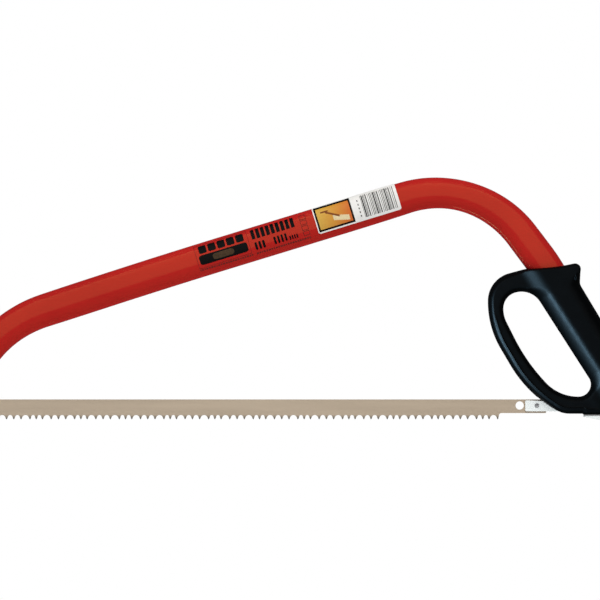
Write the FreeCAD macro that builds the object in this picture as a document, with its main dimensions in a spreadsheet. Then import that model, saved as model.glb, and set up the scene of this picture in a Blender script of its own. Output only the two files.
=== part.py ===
"""Bow saw, 530 mm blade: bent tube frame, moulded handle with knuckle guard, over-centre tension lever.

Frame: origin at the middle of the grip on the tube's axis, +X along the blade towards the heel of the
handle, +Z up, the blade's plane is Y = 0 and the near side is -Y.  Millimetres and degrees.
"""
import FreeCAD
import Part
import Sketcher
import math
import os
from FreeCAD import Placement, Rotation, Vector

doc = FreeCAD.newDocument("BowSaw")

# ---------------------------------------------------------------- driving dimensions

DIMENSIONS = {
    # tube
    "tube_high": 30.4,
    "tube_wide": 19.0,
    "tube_wall": 1.5,
    "rear_leg_angle": 58.0,
    "rear_leg_length": 84.9,
    "rear_leg_tail": 96.0,
    "tail_level": -67.0,
    "axis_set_forward": 2.35,
    "lower_bend_radius": 150.0,
    "upper_leg_angle": 53.06,
    "upper_leg_length": 98.35,
    "rear_bend_radius": 96.9,
    "spine_angle": 17.0,
    "spine_length": 294.6,
    "spine_bow_radius": 6600.0,
    "front_spine_angle": 18.04,
    "front_spine_length": 163.9,
    "front_bend_radius": 112.0,
    "front_leg_angle": 63.0,
    "front_leg_round": 48.0,
    "front_leg_flat": 72.0,
    "front_leg_length": 94.0,
    "nose_thick": 4.5,
    "nose_high": 38.0,
    "nose_slit": 1.5,
    "fork_start": 48.0,
    "fork_gap": 16.0,
    "notch_half_high": 4.0,
    "notch_past_pin": 2.65,
    # blade
    "blade_thick": 0.8,
    "blade_span": 530.0,
    "blade_hole_radius": 2.7,
    "spare_hole_radius": 3.75,
    "spare_hole_setback": 15.6,
    "blade_line": -59.5,
    "rear_hole_place": -52.0,
    "blade_back": -54.0,
    "blade_end_edge": -66.4,
    "gullet_line": -68.2,
    "tooth_line": -72.0,
    "tooth_period": 40.6,
    "blade_past_hole": 8.5,
    # pins
    "peg_radius": 2.62,
    "peg_shoulder": 2.4,
    "rivet_radius": 1.8,
    "rivet_proud": 0.3,
    "pin_radius": 2.5,
    "running_gap": 0.06,
    "pivot_head_radius": 4.2,
    "pivot_head_thick": 1.2,
    "spacer_radius": 3.9,
    "side_gap": 0.3,
    "front_head_radius": 5.0,
    "front_head_thick": 2.0,
    "clip_radius": 4.6,
    "clip_thick": 0.8,
    "clip_groove_radius": 1.9,
    "pivot_place": 35.7,
    "pivot_level": -61.6,
    "crank_radius": 6.0,
    "crank_angle": -10.0,
    # lever and link
    "sheet_thick": 1.5,
    "lever_wide": 15.4,
    "link_sheet": 1.4,
    "link_near_face": -1.9,
    "link_far_face": 4.3,
    # handle
    "grip_half_depth": 14.5,
    "guard_half_depth": 10.0,
    "shell_gap": 0.2,
    "ear_room_radius": 14.4,
    "link_slot_wide": 8.0,
    "screw_radius": 1.75,
    "screw_head_radius": 3.6,
    "screw_head_high": 2.4,
    # label
    "label_thick": 0.12,
    "label_start": 74.7,
    "label_long": 78.5,
    "label_low_edge": -9.0,
}


def make_sheet():
    """The spreadsheet that every sub-part reads."""
    table = doc.addObject("Spreadsheet::Sheet", "Dims")
    for row, (alias, value) in enumerate(DIMENSIONS.items(), start=1):
        cell = f"B{row}"
        table.set(f"A{row}", alias)
        table.set(cell, str(value))
        table.setAlias(cell, alias)
    doc.recompute()
    return table


sheet = make_sheet()


def dim(alias):
    """A driving dimension, read from the sheet."""
    return float(getattr(sheet, alias))


# ---------------------------------------------------------------- points worked out from the dimensions

def polar(origin, angle, distance):
    """The point at a distance from origin, in the X-Z plane."""
    turn = math.radians(angle)
    return (origin[0] + distance * math.cos(turn), origin[1] + distance * math.sin(turn))


def between(start, end, share):
    """The point part of the way from start to end."""
    return (start[0] + share * (end[0] - start[0]), start[1] + share * (end[1] - start[1]))


REAR_UP = 180.0 - dim("rear_leg_angle")
UPPER_UP = 180.0 - dim("upper_leg_angle")
SPINE_WAY = 180.0 + dim("spine_angle")
FRONT_SPINE_WAY = 180.0 + dim("front_spine_angle")
FRONT_DOWN = 180.0 + dim("front_leg_angle")
GRIP = polar((0.0, 0.0), REAR_UP + 90.0, dim("axis_set_forward"))
TUBE_TAIL = polar(GRIP, REAR_UP, -dim("rear_leg_tail"))
LOWER_CORNER = polar(GRIP, REAR_UP, dim("rear_leg_length"))
REAR_CORNER = polar(LOWER_CORNER, UPPER_UP, dim("upper_leg_length"))
SPINE_BOW = polar(REAR_CORNER, SPINE_WAY, dim("spine_length"))
FRONT_CORNER = polar(SPINE_BOW, FRONT_SPINE_WAY, dim("front_spine_length"))
PIVOT = (dim("pivot_place"), dim("pivot_level"))
CRANK = polar(PIVOT, dim("crank_angle"), dim("crank_radius"))
REAR_HOLE = (dim("rear_hole_place"), dim("blade_line"))
FRONT_HOLE = (dim("rear_hole_place") - dim("blade_span"), dim("blade_line"))

# ---------------------------------------------------------------- sketch helpers

SHORTEST_LINE = 1e-6
THROUGH = "400"


def new_body(name):
    """An empty body whose label names the sub-part."""
    body = doc.addObject("PartDesign::Body", name)
    body.Label = name
    return body


def origin_part(body, role):
    """One of the body's own origin planes or axes."""
    return next(item for item in body.Origin.OriginFeatures if item.Role == role)


def new_sketch(body, name, role="XZ_Plane", offset=None):
    """A sketch on an origin plane, moved by offset in that plane's frame."""
    sketch = body.newObject("Sketcher::SketchObject", name)
    sketch.AttachmentSupport = [(origin_part(body, role), "")]
    sketch.MapMode = "FlatFace"
    if offset is not None:
        sketch.AttachmentOffset = offset
    return sketch


def side_sketch(body, name, level=0.0):
    """A sketch in the side view, at Y = level."""
    return new_sketch(body, name, "XZ_Plane", Placement(Vector(0, 0, -level), Rotation()))


def section_sketch(body, name, point, way):
    """A sketch square to a direction in the side view; its x axis lies in the side view."""
    turn = Rotation(Vector(0, 1, 0), 90.0 - way)
    return new_sketch(body, name, "XY_Plane", Placement(Vector(point[0], 0, point[1]), turn))


def corner_arc(before, corner, after, radius):
    """The two tangent points and the middle of the arc that rounds a corner."""
    to_before = Vector(before[0] - corner[0], before[1] - corner[1], 0).normalize()
    to_after = Vector(after[0] - corner[0], after[1] - corner[1], 0).normalize()
    half = to_before.getAngle(to_after) / 2.0
    place = Vector(corner[0], corner[1], 0)
    tangent = radius / math.tan(half)
    inward = (to_before + to_after).normalize()
    middle = place + inward * (radius / math.sin(half) - radius)
    return place + to_before * tangent, middle, place + to_after * tangent


def rounded(corners, closed=True):
    """Lines and tangent arcs through corners given as (x, z, radius)."""
    count = len(corners)
    stops = []
    for index, (x, z, radius) in enumerate(corners):
        at_end = not closed and index in (0, count - 1)
        if radius == 0 or at_end:
            stops.append((Vector(x, z, 0),))
            continue
        before = corners[index - 1]
        after = corners[(index + 1) % count]
        stops.append(corner_arc(before, (x, z), after, radius))
    pieces = []
    for index, stop in enumerate(stops):
        if len(stop) == 3:
            pieces.append(Part.Arc(*stop))
        last = index == count - 1
        if last and not closed:
            break
        start = stop[-1]
        end = stops[(index + 1) % count][0]
        if (end - start).Length > SHORTEST_LINE:
            pieces.append(Part.LineSegment(start, end))
    return pieces


def draw(sketch, corners):
    """A closed outline with rounded corners."""
    for piece in rounded(corners):
        sketch.addGeometry(piece)


def circle(sketch, centre, radius):
    """A circle whose radius is an expression of the sheet."""
    number = sketch.addGeometry(Part.Circle(Vector(centre[0], centre[1], 0), Vector(0, 0, 1), 1.0))
    size = sketch.addConstraint(Sketcher.Constraint("Radius", number, 1.0))
    sketch.setExpression(f"Constraints[{size}]", radius)


def stadium(sketch, high, wide):
    """A flat-oval outline about the sketch's origin, its long axis along x."""
    end = wide / 2.0
    flat = high / 2.0 - end
    sketch.addGeometry(Part.LineSegment(Vector(flat, -end, 0), Vector(-flat, -end, 0)))
    sketch.addGeometry(Part.Arc(Vector(-flat, -end, 0), Vector(-flat - end, 0, 0), Vector(-flat, end, 0)))
    sketch.addGeometry(Part.LineSegment(Vector(-flat, end, 0), Vector(flat, end, 0)))
    sketch.addGeometry(Part.Arc(Vector(flat, end, 0), Vector(flat + end, 0, 0), Vector(flat, -end, 0)))


# ---------------------------------------------------------------- feature helpers

def pad(body, sketch, length, side="One side", backwards=False):
    """Add material along the sketch's normal; length is an expression."""
    feature = body.newObject("PartDesign::Pad", sketch.Name + "_pad")
    feature.Profile = sketch
    feature.SideType = side
    feature.Reversed = backwards
    feature.setExpression("Length", length)
    return feature


def cut_through(body, sketch, length=THROUGH):
    """Remove material equally on both sides of the sketch; length is an expression."""
    feature = body.newObject("PartDesign::Pocket", sketch.Name + "_cut")
    feature.Profile = sketch
    feature.SideType = "Symmetric"
    feature.setExpression("Length", length)
    return feature


def plate(body, name, corners, thickness, level=0.0):
    """A flat plate centred on Y = level."""
    sketch = side_sketch(body, name, level)
    draw(sketch, corners)
    return pad(body, sketch, thickness, "Symmetric")


def slot(body, name, corners, thickness=THROUGH, level=0.0):
    """A pocket of an outline, centred on Y = level."""
    sketch = side_sketch(body, name, level)
    draw(sketch, corners)
    return cut_through(body, sketch, thickness)


def bore(body, name, centres, radius, length=THROUGH, level=0.0):
    """Round holes along Y."""
    sketch = side_sketch(body, name, level)
    for centre in centres:
        circle(sketch, centre, radius)
    return cut_through(body, sketch, length)


def disc(body, name, centre, radius, length, level):
    """A round boss along Y, centred on Y = level."""
    sketch = side_sketch(body, name, level)
    circle(sketch, centre, radius)
    return pad(body, sketch, length, "Symmetric")


# ---------------------------------------------------------------- frame tube

BELOW_TAIL = [(-20, dim("tail_level"), 0), (90, dim("tail_level"), 0), (90, -130, 0), (-20, -130, 0)]
NOSE_SLIT = [(-640, -50, 0), (-540, -50, 0), (-540, -100, 0), (-640, -100, 0)]
NOSE_TRIM = [
    (-640, -41, 0),
    (-591.5, -41, 6),
    (-591.5, -71, 8),
    (-565, -71, 10),
    (-556, -57, 3),
    (-540, -57, 0),
    (-540, -110, 0),
    (-640, -110, 0),
]
NOTCH_MOUTH = -610.0
NOTCH_ROUND = 3.9
SLIT_EXTRA = 0.1


def fork_outline():
    """The part of the rear leg's tail that is open between the two fork cheeks."""
    start = polar(GRIP, REAR_UP, -dim("fork_start"))
    end = polar(TUBE_TAIL, REAR_UP, -dim("tube_wall"))
    across = REAR_UP - 90.0
    reach = dim("tube_high")
    return [
        (*polar(start, across, reach), 0),
        (*polar(end, across, reach), 0),
        (*polar(end, across, -reach), 0),
        (*polar(start, across, -reach), 0),
    ]


def notch_outline():
    """The open-ended notch that the front pin hooks into."""
    x, z = FRONT_HOLE
    half = dim("notch_half_high")
    end = x + dim("notch_past_pin")
    return [
        (NOTCH_MOUTH, z + half, 0),
        (end, z + half, NOTCH_ROUND),
        (end, z - half, NOTCH_ROUND),
        (NOTCH_MOUTH, z - half, 0),
    ]


def tube_path(body, name):
    """Centre line: rear leg, slightly bowed spine and the round part of the front leg."""
    nose = polar(FRONT_CORNER, FRONT_DOWN, dim("front_leg_round"))
    corners = [
        (*TUBE_TAIL, 0),
        (*LOWER_CORNER, dim("lower_bend_radius")),
        (*REAR_CORNER, dim("rear_bend_radius")),
        (*SPINE_BOW, dim("spine_bow_radius")),
        (*FRONT_CORNER, dim("front_bend_radius")),
        (*nose, 0),
    ]
    sketch = side_sketch(body, name)
    for piece in rounded(corners, closed=False):
        sketch.addGeometry(piece)
    return sketch


def tube_pipe(body, kind, name, path, high, wide):
    """A flat-oval sweep along the path, added or removed."""
    section = section_sketch(body, name, TUBE_TAIL, REAR_UP)
    stadium(section, high, wide)
    pipe = body.newObject(kind, name + "_sweep")
    pipe.Profile = section
    pipe.Spine = (path, [f"Edge{number + 1}" for number in range(len(path.Geometry))])
    return pipe


def nose_loft(body, kind, name, inset, flat_high, flat_thick):
    """The front leg flattened from a flat oval to a thin tongue, added or removed."""
    stations = [
        (dim("front_leg_round"), dim("tube_high") - 2 * inset, dim("tube_wide") - 2 * inset),
        (dim("front_leg_flat"), flat_high, flat_thick),
        (dim("front_leg_length"), flat_high, flat_thick),
    ]
    sketches = []
    for number, (distance, high, wide) in enumerate(stations):
        place = polar(FRONT_CORNER, FRONT_DOWN, distance)
        section = section_sketch(body, f"{name}_{number}", place, FRONT_DOWN)
        stadium(section, high, wide)
        sketches.append(section)
    loft = body.newObject(kind, name + "_loft")
    loft.Profile = sketches[0]
    loft.Sections = sketches[1:]
    loft.Ruled = True
    return loft


def frame_tube():
    """Bent flat-oval tube; forked tail for the lever, flattened and slit nose for the blade."""
    body = new_body("frame_tube")
    wall = dim("tube_wall")
    path = tube_path(body, "tube_path")
    tube_pipe(body, "PartDesign::AdditivePipe", "tube_skin", path, dim("tube_high"), dim("tube_wide"))
    nose_loft(body, "PartDesign::AdditiveLoft", "nose_skin", 0.0, dim("nose_high"), dim("nose_thick"))
    core_high = dim("tube_high") - 2 * wall
    core_wide = dim("tube_wide") - 2 * wall
    tube_pipe(body, "PartDesign::SubtractivePipe", "tube_core", path, core_high, core_wide)
    flat_core = dim("nose_high") - 2 * wall
    nose_loft(body, "PartDesign::SubtractiveLoft", "nose_core", wall, flat_core, dim("nose_slit"))
    slot(body, "fork_slot", fork_outline(), "Dims.fork_gap")
    slot(body, "tail_trim", BELOW_TAIL)
    slot(body, "nose_slit", NOSE_SLIT, f"Dims.nose_slit + {SLIT_EXTRA}")
    slot(body, "nose_trim", NOSE_TRIM)
    slot(body, "nose_notch", notch_outline())
    bore(body, "pivot_holes", [PIVOT], "Dims.pin_radius")
    bore(body, "screw_holes", TUBE_SCREWS, f"Dims.screw_radius + {TUBE_HOLE_GAP}")
    return body


# ---------------------------------------------------------------- handle

GUARD_SCREWS = [(-84.5, 43.0), (-79.5, -4.0), (-52.5, -39.0)]
TUBE_SCREWS = [polar(GRIP, REAR_UP, 58.0), polar(GRIP, REAR_UP, -18.0)]
SCREW_SETS = [(GUARD_SCREWS, 6.0, 14.0), (TUBE_SCREWS, 10.4, 23.0)]
TUBE_HOLE_GAP = 0.5
SHELL_HOLE_GAP = 0.3
HEAD_ROOM_GAP = 0.2
HEAD_ROOM_DEEP = 20.0
ALONG_Y = Rotation(Vector(1, 0, 0), -90)

TOP_FRONT = (-62.0, 64.8)
TOP_MIDDLE = (-27.0, 67.8)
GRIP_STARTS = 0.15

HANDLE_OUTLINE = [
    (*TOP_FRONT, 40),
    (*TOP_MIDDLE, 25),
    (-12.0, 70.9, 5),
    (-12.9, 50.9, 8),
    (58.5, -68.2, 6),
    (-9.5, -68.2, 0),
    (-10.3, -67.0, 0),
    (-29.9, -67.0, 28),
    (-61.9, -46.9, 115),
    (-96.5, 11.8, 84),
    (-96.5, 55.5, 26),
]

GRIP_OUTLINE = [
    (*between(TOP_FRONT, TOP_MIDDLE, GRIP_STARTS), 5),
    (*TOP_MIDDLE, 25),
    (-12.0, 70.9, 5),
    (-12.9, 50.9, 8),
    (58.5, -68.2, 6),
    (8.0, -68.2, 6),
    (2.2, -46.0, 12),
    (-54.8, 43.0, 12),
]

FINGER_OPENING = [
    (-56.7, 46.6, 20),
    (-82.4, 40.6, 15),
    (-82.4, 22.0, 27),
    (-61.5, -19.5, 170),
    (-32.0, -51.4, 40),
    (6.2, -51.4, 11),
]

GUARD_ROUND = 4.5
GRIP_ROUND = 4.0
LEVEL_SLACK = 0.01
HEAD_ROOM_END = 1.0
HEAD_ROOM_SIDE = 0.6
LINK_MIDDLE = (dim("link_near_face") + dim("link_far_face")) / 2.0
WELL_FRONT = PIVOT[0] - 13.5
WELL_BACK = PIVOT[0] + 15.8

LEVER_WELL = [(WELL_FRONT, -80, 0), (WELL_FRONT, PIVOT[1], 4), (WELL_BACK, PIVOT[1], 4), (WELL_BACK, -80, 0)]

LINK_SLOT = [
    (-80, -52.0, 0),
    (-42.5, -52.0, 0),
    (-41.5, -53.4, 0),
    (0, -52.2, 0),
    (PIVOT[0] + 11.5, -50.0, 0),
    (PIVOT[0] + 11.5, -70, 0),
    (WELL_FRONT, -70, 0),
    (WELL_FRONT, -66.6, 0),
    (-30, -65.6, 0),
    (-80, -66.5, 0),
]


def edges_at(shape, level):
    """Names of the edges that lie in the plane Y = level."""
    names = []
    for number, edge in enumerate(shape.Edges, start=1):
        box = edge.BoundBox
        if abs(box.YMin - level) < LEVEL_SLACK and abs(box.YMax - level) < LEVEL_SLACK:
            names.append(f"Edge{number}")
    return names


def round_edges(body, feature, level, radius):
    """Round the edges of the plane Y = level."""
    doc.recompute()
    fillet = body.newObject("PartDesign::Fillet", f"{feature.Name}_round")
    fillet.Base = (feature, edges_at(feature.Shape, level))
    fillet.Radius = radius
    return fillet


def tube_channel(body):
    """Room for the tube's rear leg, which follows its gentle lower bend."""
    path = tube_path(body, body.Name + "_leg_path")
    gap = 2 * dim("shell_gap")
    high = dim("tube_high") + gap
    wide = dim("tube_wide") + gap
    return tube_pipe(body, "PartDesign::SubtractivePipe", body.Name + "_channel", path, high, wide)


def lever_room(body):
    """Cavity for the lever's ears, open below, and the slot that the link slides in."""
    width = "Dims.fork_gap + 2 * Dims.side_gap"
    slot(body, body.Name + "_well", LEVER_WELL, width)
    bore(body, body.Name + "_ears", [PIVOT], "Dims.ear_room_radius", width)
    slot(body, body.Name + "_link_slot", LINK_SLOT, "Dims.link_slot_wide", LINK_MIDDLE)
    heads = f"Dims.tube_wide + 2 * Dims.pivot_head_thick + {HEAD_ROOM_END}"
    bore(body, body.Name + "_pivot_heads", [PIVOT], f"Dims.pivot_head_radius + {HEAD_ROOM_SIDE}", heads)


def handle_shell(name, way):
    """Half of the handle; way is -1 for the near side and +1 for the far side."""
    body = new_body(name)
    near = way < 0
    guard = side_sketch(body, name + "_guard")
    draw(guard, HANDLE_OUTLINE)
    draw(guard, FINGER_OPENING)
    ring = pad(body, guard, "Dims.guard_half_depth", backwards=not near)
    round_edges(body, ring, way * dim("guard_half_depth"), GUARD_ROUND)
    grip = side_sketch(body, name + "_grip")
    draw(grip, GRIP_OUTLINE)
    bar = pad(body, grip, "Dims.grip_half_depth", backwards=not near)
    round_edges(body, bar, way * dim("grip_half_depth"), GRIP_ROUND)
    tube_channel(body)
    lever_room(body)
    for number, (centres, seat, length) in enumerate(SCREW_SETS, start=1):
        label = f"{name}_screws_{number}"
        if near:
            bore(body, label, centres, "Dims.screw_radius", str(2 * (length - seat)))
        else:
            bore(body, label, centres, f"Dims.screw_radius + {SHELL_HOLE_GAP}")
            room = f"Dims.screw_head_radius + {HEAD_ROOM_GAP}"
            bore(body, label + "_head", centres, room, str(HEAD_ROOM_DEEP), seat + HEAD_ROOM_DEEP / 2.0)
    return body


def screw_set(name, centres, seat, length):
    """Equal screws entered from the far side, heads seated at Y = seat."""
    screws = []
    for number, (x, z) in enumerate(centres, start=1):
        shank = doc.addObject("Part::Cylinder", f"{name}_shank_{number}")
        shank.setExpression("Radius", "Dims.screw_radius")
        shank.Height = length
        shank.Placement = Placement(Vector(x, seat - length, z), ALONG_Y)
        head = doc.addObject("Part::Cylinder", f"{name}_head_{number}")
        head.setExpression("Radius", "Dims.screw_head_radius")
        head.setExpression("Height", "Dims.screw_head_high")
        head.Placement = Placement(Vector(x, seat, z), ALONG_Y)
        screw = doc.addObject("Part::Fuse", f"{name}_{number}")
        screw.Base = shank
        screw.Tool = head
        screws.append(screw)
    group = doc.addObject("Part::Compound", name)
    group.Links = screws
    return group


# ---------------------------------------------------------------- tension lever, link and pins

LEVER_SIDE = [
    (-9.1, -68.7, 0),
    (-9.1, -69.7, 0),
    (17.0, -74.6, 30),
    (PIVOT[0] + 11, -74.6, 11),
    (PIVOT[0] + 11, PIVOT[1] + 10.6, 10),
    (PIVOT[0] - 10.5, PIVOT[1] + 10.6, 9),
    (PIVOT[0] - 12, -68.7, 3),
]

ABOVE_WEB = [
    (-12, -45, 0),
    (-12, -67.6, 0),
    (17.0, -73.1, 0),
    (PIVOT[0] + 1.5, -73.1, 0),
    (PIVOT[0] + 1.5, -90, 0),
    (70, -90, 0),
    (70, -45, 0),
]


def tension_lever():
    """Channel-shaped lever: a slim arm under the handle, and two ears on the pivots."""
    body = new_body("tension_lever")
    plate(body, "arm", LEVER_SIDE, "Dims.lever_wide")
    slot(body, "channel", ABOVE_WEB, "Dims.lever_wide - 2 * Dims.sheet_thick")
    bore(body, "pivot_hole", [PIVOT], "Dims.pin_radius + Dims.running_gap")
    bore(body, "crank_hole", [CRANK], "Dims.pin_radius")
    return body


def lever_pivot(name, way):
    """Headed stub pin; its head lies between the tube and the handle shell."""
    body = new_body(name)
    inner = dim("lever_wide") / 2.0 - dim("sheet_thick")
    outer = dim("tube_wide") / 2.0
    head = outer + dim("pivot_head_thick") / 2.0
    disc(body, name + "_stem", PIVOT, "Dims.pin_radius", str(outer - inner), way * (outer + inner) / 2.0)
    disc(body, name + "_head", PIVOT, "Dims.pivot_head_radius", "Dims.pivot_head_thick", way * head)
    return body


def link_pin():
    """Plain pin, flush in the lever's ears."""
    body = new_body("link_pin")
    disc(body, "link_pin_stem", CRANK, "Dims.pin_radius", "Dims.lever_wide", 0.0)
    return body


def link_spacer(name, low, high):
    """Sleeve on the link pin, between an ear and the link."""
    body = new_body(name)
    disc(body, name + "_sleeve", CRANK, "Dims.spacer_radius", str(high - low), (low + high) / 2.0)
    bore(body, name + "_bore", [CRANK], "Dims.pin_radius + Dims.running_gap")
    return body


LINK_SIDE = [
    (-62.6, -54.7, 1.2),
    (-30.0, -56.2, 60),
    (CRANK[0] + 5, -58.2, 4.4),
    (CRANK[0] + 5, -67.1, 4.4),
    (-30.0, -64.8, 60),
    (-62.6, -64.6, 1.2),
]

BETWEEN_CHEEKS = [
    (-70, -50, 0),
    (-38, -50, 0),
    (-38, -57.4, 0),
    (28, -59.2, 0),
    (28, -50, 0),
    (60, -50, 0),
    (60, -80, 0),
    (-70, -80, 0),
]


def blade_link():
    """Folded stirrup: two cheeks joined by a web along the top, behind the blade's end."""
    body = new_body("blade_link")
    wide = "Dims.link_far_face - Dims.link_near_face"
    plate(body, "cheeks", LINK_SIDE, wide, LINK_MIDDLE)
    slot(body, "between_cheeks", BETWEEN_CHEEKS, f"{wide} - 2 * Dims.link_sheet", LINK_MIDDLE)
    bore(body, "crank_bore", [CRANK], "Dims.pin_radius + Dims.running_gap")
    near_cheek = dim("link_near_face") + dim("link_sheet") / 2.0
    bore(body, "rivet_bore", [REAR_HOLE], "Dims.rivet_radius", "Dims.link_sheet + 1", near_cheek)
    return body


def blade_peg():
    """Peg that the blade hooks on, peened over on the outside of the near cheek."""
    body = new_body("blade_peg")
    near = dim("link_near_face")
    inner = near + dim("link_sheet")
    shoulder = inner + dim("peg_shoulder") / 2.0
    stem = (inner + near - dim("rivet_proud")) / 2.0
    disc(body, "shoulder", REAR_HOLE, "Dims.peg_radius", "Dims.peg_shoulder", shoulder)
    disc(body, "stem", REAR_HOLE, "Dims.rivet_radius", "Dims.link_sheet + Dims.rivet_proud", stem)
    return body


# ---------------------------------------------------------------- blade and its front pin

LAST_TOOTH = -87.5
TOOTH_GAPS = [7.9, 5.7, 5.7, 8.1, 6.6, 6.6]
HALF_TIP = 0.3
SHOULDER_IN = 1.15
SHOULDER_UP = 2.0
PERIODS = 12
BELOW_TIPS = 1.0
END_TOOTH_SLOPE = 1.5


def gullet(sketch, right_tooth, gap):
    """The rounded space between two teeth; it runs out below the teeth."""
    tip = dim("tooth_line")
    right = right_tooth - HALF_TIP
    left = right_tooth - gap + HALF_TIP
    shoulder = tip + SHOULDER_UP
    below = tip - BELOW_TIPS
    inner_right = right_tooth - SHOULDER_IN
    inner_left = right_tooth - gap + SHOULDER_IN
    top = Vector((left + right) / 2.0, dim("gullet_line"), 0)
    sketch.addGeometry(Part.LineSegment(Vector(left, below, 0), Vector(right, below, 0)))
    sketch.addGeometry(Part.LineSegment(Vector(right, below, 0), Vector(right, tip, 0)))
    sketch.addGeometry(Part.LineSegment(Vector(right, tip, 0), Vector(inner_right, shoulder, 0)))
    sketch.addGeometry(Part.Arc(Vector(inner_right, shoulder, 0), top, Vector(inner_left, shoulder, 0)))
    sketch.addGeometry(Part.LineSegment(Vector(inner_left, shoulder, 0), Vector(left, tip, 0)))
    sketch.addGeometry(Part.LineSegment(Vector(left, tip, 0), Vector(left, below, 0)))


def saw_blade():
    """Blade with groups of rounded gullets, a hook hole and a spare hole at each end."""
    body = new_body("saw_blade")
    back = dim("blade_back")
    end_edge = dim("blade_end_edge")
    tip = dim("tooth_line")
    rear = REAR_HOLE[0] + dim("blade_past_hole")
    front = FRONT_HOLE[0] - dim("blade_past_hole")
    first_tooth = LAST_TOOTH - dim("tooth_period") * (PERIODS - 1) - TOOTH_GAPS[0] - TOOTH_GAPS[1]
    outline = [
        (front, back, 2),
        (rear, back, 2),
        (rear, end_edge, 1),
        (LAST_TOOTH + END_TOOTH_SLOPE, end_edge, 2.5),
        (LAST_TOOTH + HALF_TIP, tip, 0),
        (first_tooth - HALF_TIP, tip, 0),
        (first_tooth - END_TOOTH_SLOPE, end_edge, 2.5),
        (front, end_edge, 1),
    ]
    plate(body, "strip", outline, "Dims.blade_thick")
    bore(body, "hook_holes", [REAR_HOLE, FRONT_HOLE], "Dims.blade_hole_radius")
    setback = dim("spare_hole_setback")
    spares = [(REAR_HOLE[0] - setback, REAR_HOLE[1]), (FRONT_HOLE[0] + setback, FRONT_HOLE[1])]
    bore(body, "spare_holes", spares, "Dims.spare_hole_radius")
    sketch = side_sketch(body, "gullets")
    tooth = LAST_TOOTH
    for gap in TOOTH_GAPS:
        gullet(sketch, tooth, gap)
        tooth -= gap
    gullets = cut_through(body, sketch)
    doc.recompute()
    row = body.newObject("PartDesign::LinearPattern", "tooth_row")
    row.Originals = [gullets]
    row.Direction = (origin_part(body, "X_Axis"), [""])
    row.Reversed = True
    row.Occurrences = PERIODS
    row.setExpression("Length", f"Dims.tooth_period * {PERIODS - 1}")
    body.Tip = row
    return body


PIN_HEAD_FACE = 2.8
PIN_TAIL = -5.0
CLIP_LEVEL = -3.4
CLIP_MOUTH_HALF = 1.5
CLIP_SIDE_GAP = 0.1
CLIP_BORE_GAP = 0.02


def front_blade_pin():
    """Loose headed cross pin with a groove for its clip."""
    body = new_body("front_blade_pin")
    middle = (PIN_HEAD_FACE + PIN_TAIL) / 2.0
    head = PIN_HEAD_FACE + dim("front_head_thick") / 2.0
    disc(body, "front_stem", FRONT_HOLE, "Dims.pin_radius", str(PIN_HEAD_FACE - PIN_TAIL), middle)
    disc(body, "front_head", FRONT_HOLE, "Dims.front_head_radius", "Dims.front_head_thick", head)
    groove = side_sketch(body, "clip_groove", CLIP_LEVEL)
    circle(groove, FRONT_HOLE, "Dims.pin_radius + 1")
    circle(groove, FRONT_HOLE, "Dims.clip_groove_radius")
    cut_through(body, groove, f"Dims.clip_thick + {CLIP_SIDE_GAP}")
    return body


def front_pin_clip():
    """Open retaining clip in the pin's groove."""
    body = new_body("front_pin_clip")
    sketch = side_sketch(body, "clip_ring", CLIP_LEVEL)
    circle(sketch, FRONT_HOLE, "Dims.clip_radius")
    circle(sketch, FRONT_HOLE, f"Dims.clip_groove_radius + {CLIP_BORE_GAP}")
    pad(body, sketch, "Dims.clip_thick", "Symmetric")
    x, z = FRONT_HOLE
    left = x - CLIP_MOUTH_HALF
    right = x + CLIP_MOUTH_HALF
    low = z - 2 * dim("clip_radius")
    slot(body, "clip_mouth", [(left, z, 0), (right, z, 0), (right, low, 0), (left, low, 0)])
    return body


# ---------------------------------------------------------------- label

PAST_LABEL = 5.0
BELOW_TUBE = -40.0


def below_label(start, edge):
    """Everything under a line along the spine, edge away from its centre line."""
    side = SPINE_WAY - 90.0
    high = polar(start, side, edge)
    low = polar(start, side, BELOW_TUBE)
    end = dim("label_long") + PAST_LABEL
    return [
        (*polar(high, SPINE_WAY, -PAST_LABEL), 0),
        (*polar(high, SPINE_WAY, end), 0),
        (*polar(low, SPINE_WAY, end), 0),
        (*polar(low, SPINE_WAY, -PAST_LABEL), 0),
    ]


def size_label():
    """Thin label wrapped over the top of the spine, from the near side to the far side."""
    body = new_body("size_label")
    start = polar(REAR_CORNER, SPINE_WAY, dim("label_start"))
    section = section_sketch(body, "label_section", start, SPINE_WAY)
    thick = 2 * dim("label_thick")
    stadium(section, dim("tube_high") + thick, dim("tube_wide") + thick)
    stadium(section, dim("tube_high"), dim("tube_wide"))
    pad(body, section, "Dims.label_long")
    slot(body, "label_under", below_label(start, dim("label_low_edge")))
    far_side = dim("tube_wide")
    slot(body, "label_far", below_label(start, 0.0), str(far_side), far_side / 2.0)
    return body


# ---------------------------------------------------------------- build, check and write

def build():
    """Every sub-part, in the order a bench would lay them out."""
    gap = dim("side_gap")
    near_face = dim("link_near_face") - gap
    far_face = dim("link_far_face") + gap
    ear_face = dim("lever_wide") / 2.0 - dim("sheet_thick") - gap
    return [
        frame_tube(),
        handle_shell("handle_near_shell", -1),
        handle_shell("handle_far_shell", 1),
        screw_set("guard_screws", *SCREW_SETS[0]),
        screw_set("grip_screws", *SCREW_SETS[1]),
        size_label(),
        lever_pivot("lever_pivot_near", -1),
        lever_pivot("lever_pivot_far", 1),
        tension_lever(),
        link_pin(),
        link_spacer("link_spacer_near", -ear_face, near_face),
        link_spacer("link_spacer_far", far_face, ear_face),
        blade_link(),
        blade_peg(),
        saw_blade(),
        front_blade_pin(),
        front_pin_clip(),
    ]


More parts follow.
